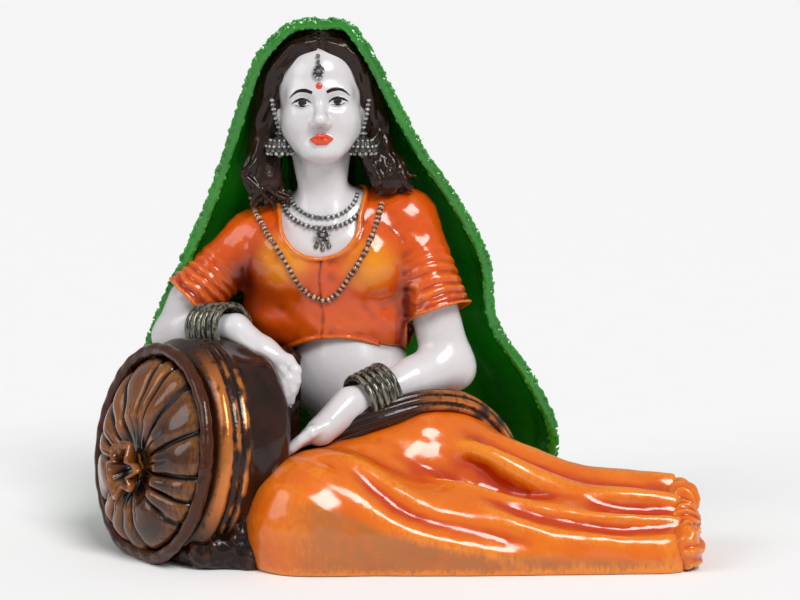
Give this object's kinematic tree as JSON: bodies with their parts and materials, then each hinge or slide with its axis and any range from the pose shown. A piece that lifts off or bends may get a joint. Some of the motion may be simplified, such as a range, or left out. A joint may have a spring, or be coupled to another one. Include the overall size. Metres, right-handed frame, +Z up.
{
  "type": "seated rajasthani lady figurine",
  "caption": "Glossy painted resin figurine of a seated lady in Rajasthani dress, with a long veil, her arm resting on a round bolster.",
  "frame": {"origin": "on the ground, under the middle of the whole figurine's box", "axes": "+X to the right as the figurine is looked at from the front, -Y towards the viewer, +Z up"},
  "size_m": [0.2182, 0.1174, 0.1892],
  "materials": {
    "skin": "glossy pearly white paint on cast resin",
    "hair": "glossy near-black brown paint with reddish dry-brushed strands",
    "orange": "glossy orange paint, darker red-orange in the folds",
    "green": "glossy green paint, lighter green rubbed on the raised border",
    "brown": "glossy dark brown paint",
    "copper": "metallic copper paint rubbed over dark brown, clear gloss coat",
    "silver": "antiqued silver paint, dark in the recesses",
    "bead": "dark brown paint with copper rubbed on the beads",
    "vermilion": "glossy vermilion paint"
  },
  "bodies": {
    "root": {"torso": "skin", "head": "skin", "right_arm": "skin", "left_arm": "skin", "bindi": "vermilion", "hair": "hair", "blouse": "orange", "skirt": "orange", "skirt_hem": "orange", "veil": "green", "veil_border": "green", "bolster_cover": "brown", "bolster_piping": "brown", "bolster_end_cap": "copper", "bolster_knot": "copper", "waist_sash": "brown", "throw_cloth": "brown", "maang_tikka": "silver", "jhumka_right": "silver", "jhumka_left": "silver", "ear_chain_right": "silver", "ear_chain_left": "silver", "choker_upper": "silver", "choker_lower": "silver", "choker_pendant": "silver", "long_necklace": "bead", "bangle_right_1": "silver", "bangle_right_2": "silver", "bangle_right_3": "silver", "bangle_right_4": "silver", "bangle_right_5": "silver", "bangle_right_6": "silver", "bangle_left_1": "silver", "bangle_left_2": "silver", "bangle_left_3": "silver", "bangle_left_4": "silver", "bangle_left_5": "silver"}
  },
  "joints": []
}
